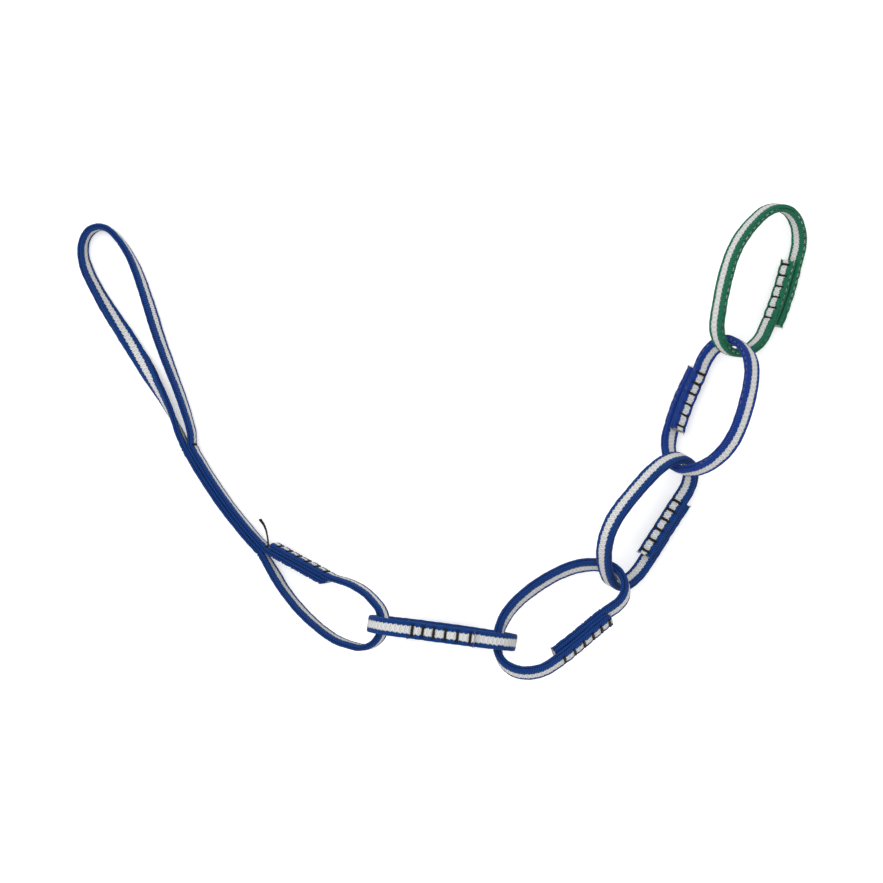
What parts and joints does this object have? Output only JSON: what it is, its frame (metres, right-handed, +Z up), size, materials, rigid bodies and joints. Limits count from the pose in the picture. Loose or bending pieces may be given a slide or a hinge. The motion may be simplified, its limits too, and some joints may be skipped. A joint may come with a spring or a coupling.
{
  "type": "personal anchor system",
  "caption": "Personal anchor system of narrow webbing: a tie-in sling with a harness eye and a chain eye, and sewn loops hooked through each other in a chain.",
  "frame": {"origin": "middle of the chain's outline as it lies, on the surface that it lies on", "axes": "+X runs from the harness eye towards the end link, +Z is up from the surface"},
  "size_m": [0.4908, 0.3144, 0.0729],
  "materials": {
    "blue_web": "woven, white faces with blue edges",
    "royal_blue_web": "woven, white faces with royal blue edges",
    "green_web": "woven, white faces with green edges",
    "black_thread": "zigzag thread, matte"
  },
  "bodies": {
    "sling": {"tie_in_sling": "blue_web", "sling_tack_1": "black_thread", "sling_tack_2": "black_thread", "sling_tack_3": "black_thread", "sling_tack_4": "black_thread", "sling_tack_5": "black_thread", "sling_tack_6": "black_thread", "harness_eye_tack": "black_thread", "chain_eye_tack": "black_thread", "thread_tail": "black_thread"},
    "link_1": {"link_1_webbing": "blue_web", "link_1_tack_1": "black_thread", "link_1_tack_2": "black_thread", "link_1_tack_3": "black_thread", "link_1_tack_4": "black_thread", "link_1_tack_5": "black_thread", "link_1_tack_6": "black_thread"},
    "link_2": {"link_2_webbing": "blue_web", "link_2_tack_1": "black_thread", "link_2_tack_2": "black_thread", "link_2_tack_3": "black_thread", "link_2_tack_4": "black_thread", "link_2_tack_5": "black_thread", "link_2_tack_6": "black_thread"},
    "link_3": {"link_3_webbing": "blue_web", "link_3_tack_1": "black_thread", "link_3_tack_2": "black_thread", "link_3_tack_3": "black_thread", "link_3_tack_4": "black_thread", "link_3_tack_5": "black_thread", "link_3_tack_6": "black_thread"},
    "link_4": {"link_4_webbing": "royal_blue_web", "link_4_tack_1": "black_thread", "link_4_tack_2": "black_thread", "link_4_tack_3": "black_thread", "link_4_tack_4": "black_thread", "link_4_tack_5": "black_thread", "link_4_tack_6": "black_thread"},
    "link_5": {"link_5_webbing": "green_web", "link_5_tack_1": "black_thread", "link_5_tack_2": "black_thread", "link_5_tack_3": "black_thread", "link_5_tack_4": "black_thread", "link_5_tack_5": "black_thread", "link_5_tack_6": "black_thread"}
  },
  "joints": [
    {"name": "link_1_swing", "type": "hinge", "parent": "sling", "child": "link_1", "pos_m": [-0.05295, -0.12131, 0.03611], "axis": [-0.4184, 0.0038, 0.9082], "range_deg": [-60, 45]},
    {"name": "link_2_swing", "type": "hinge", "parent": "link_1", "child": "link_2", "pos_m": [0.05778, -0.13528, 0.04872], "axis": [0.1746, -0.5627, -0.808], "range_deg": [-60, 60]},
    {"name": "link_3_swing", "type": "hinge", "parent": "link_2", "child": "link_3", "pos_m": [0.1014, -0.10157, 0.03466], "axis": [-0.1746, 0.5627, 0.808], "range_deg": [-60, 60]},
    {"name": "link_4_swing", "type": "hinge", "parent": "link_3", "child": "link_4", "pos_m": [0.15248, -0.03226, 0.02441], "axis": [-0.6472, 0.3792, -0.6613], "range_deg": [-60, 60]},
    {"name": "link_5_swing", "type": "hinge", "parent": "link_4", "child": "link_5", "pos_m": [0.1993, 0.07771, 0.02509], "axis": [0.6352, -0.2097, 0.7433], "range_deg": [-60, 60]}
  ]
}
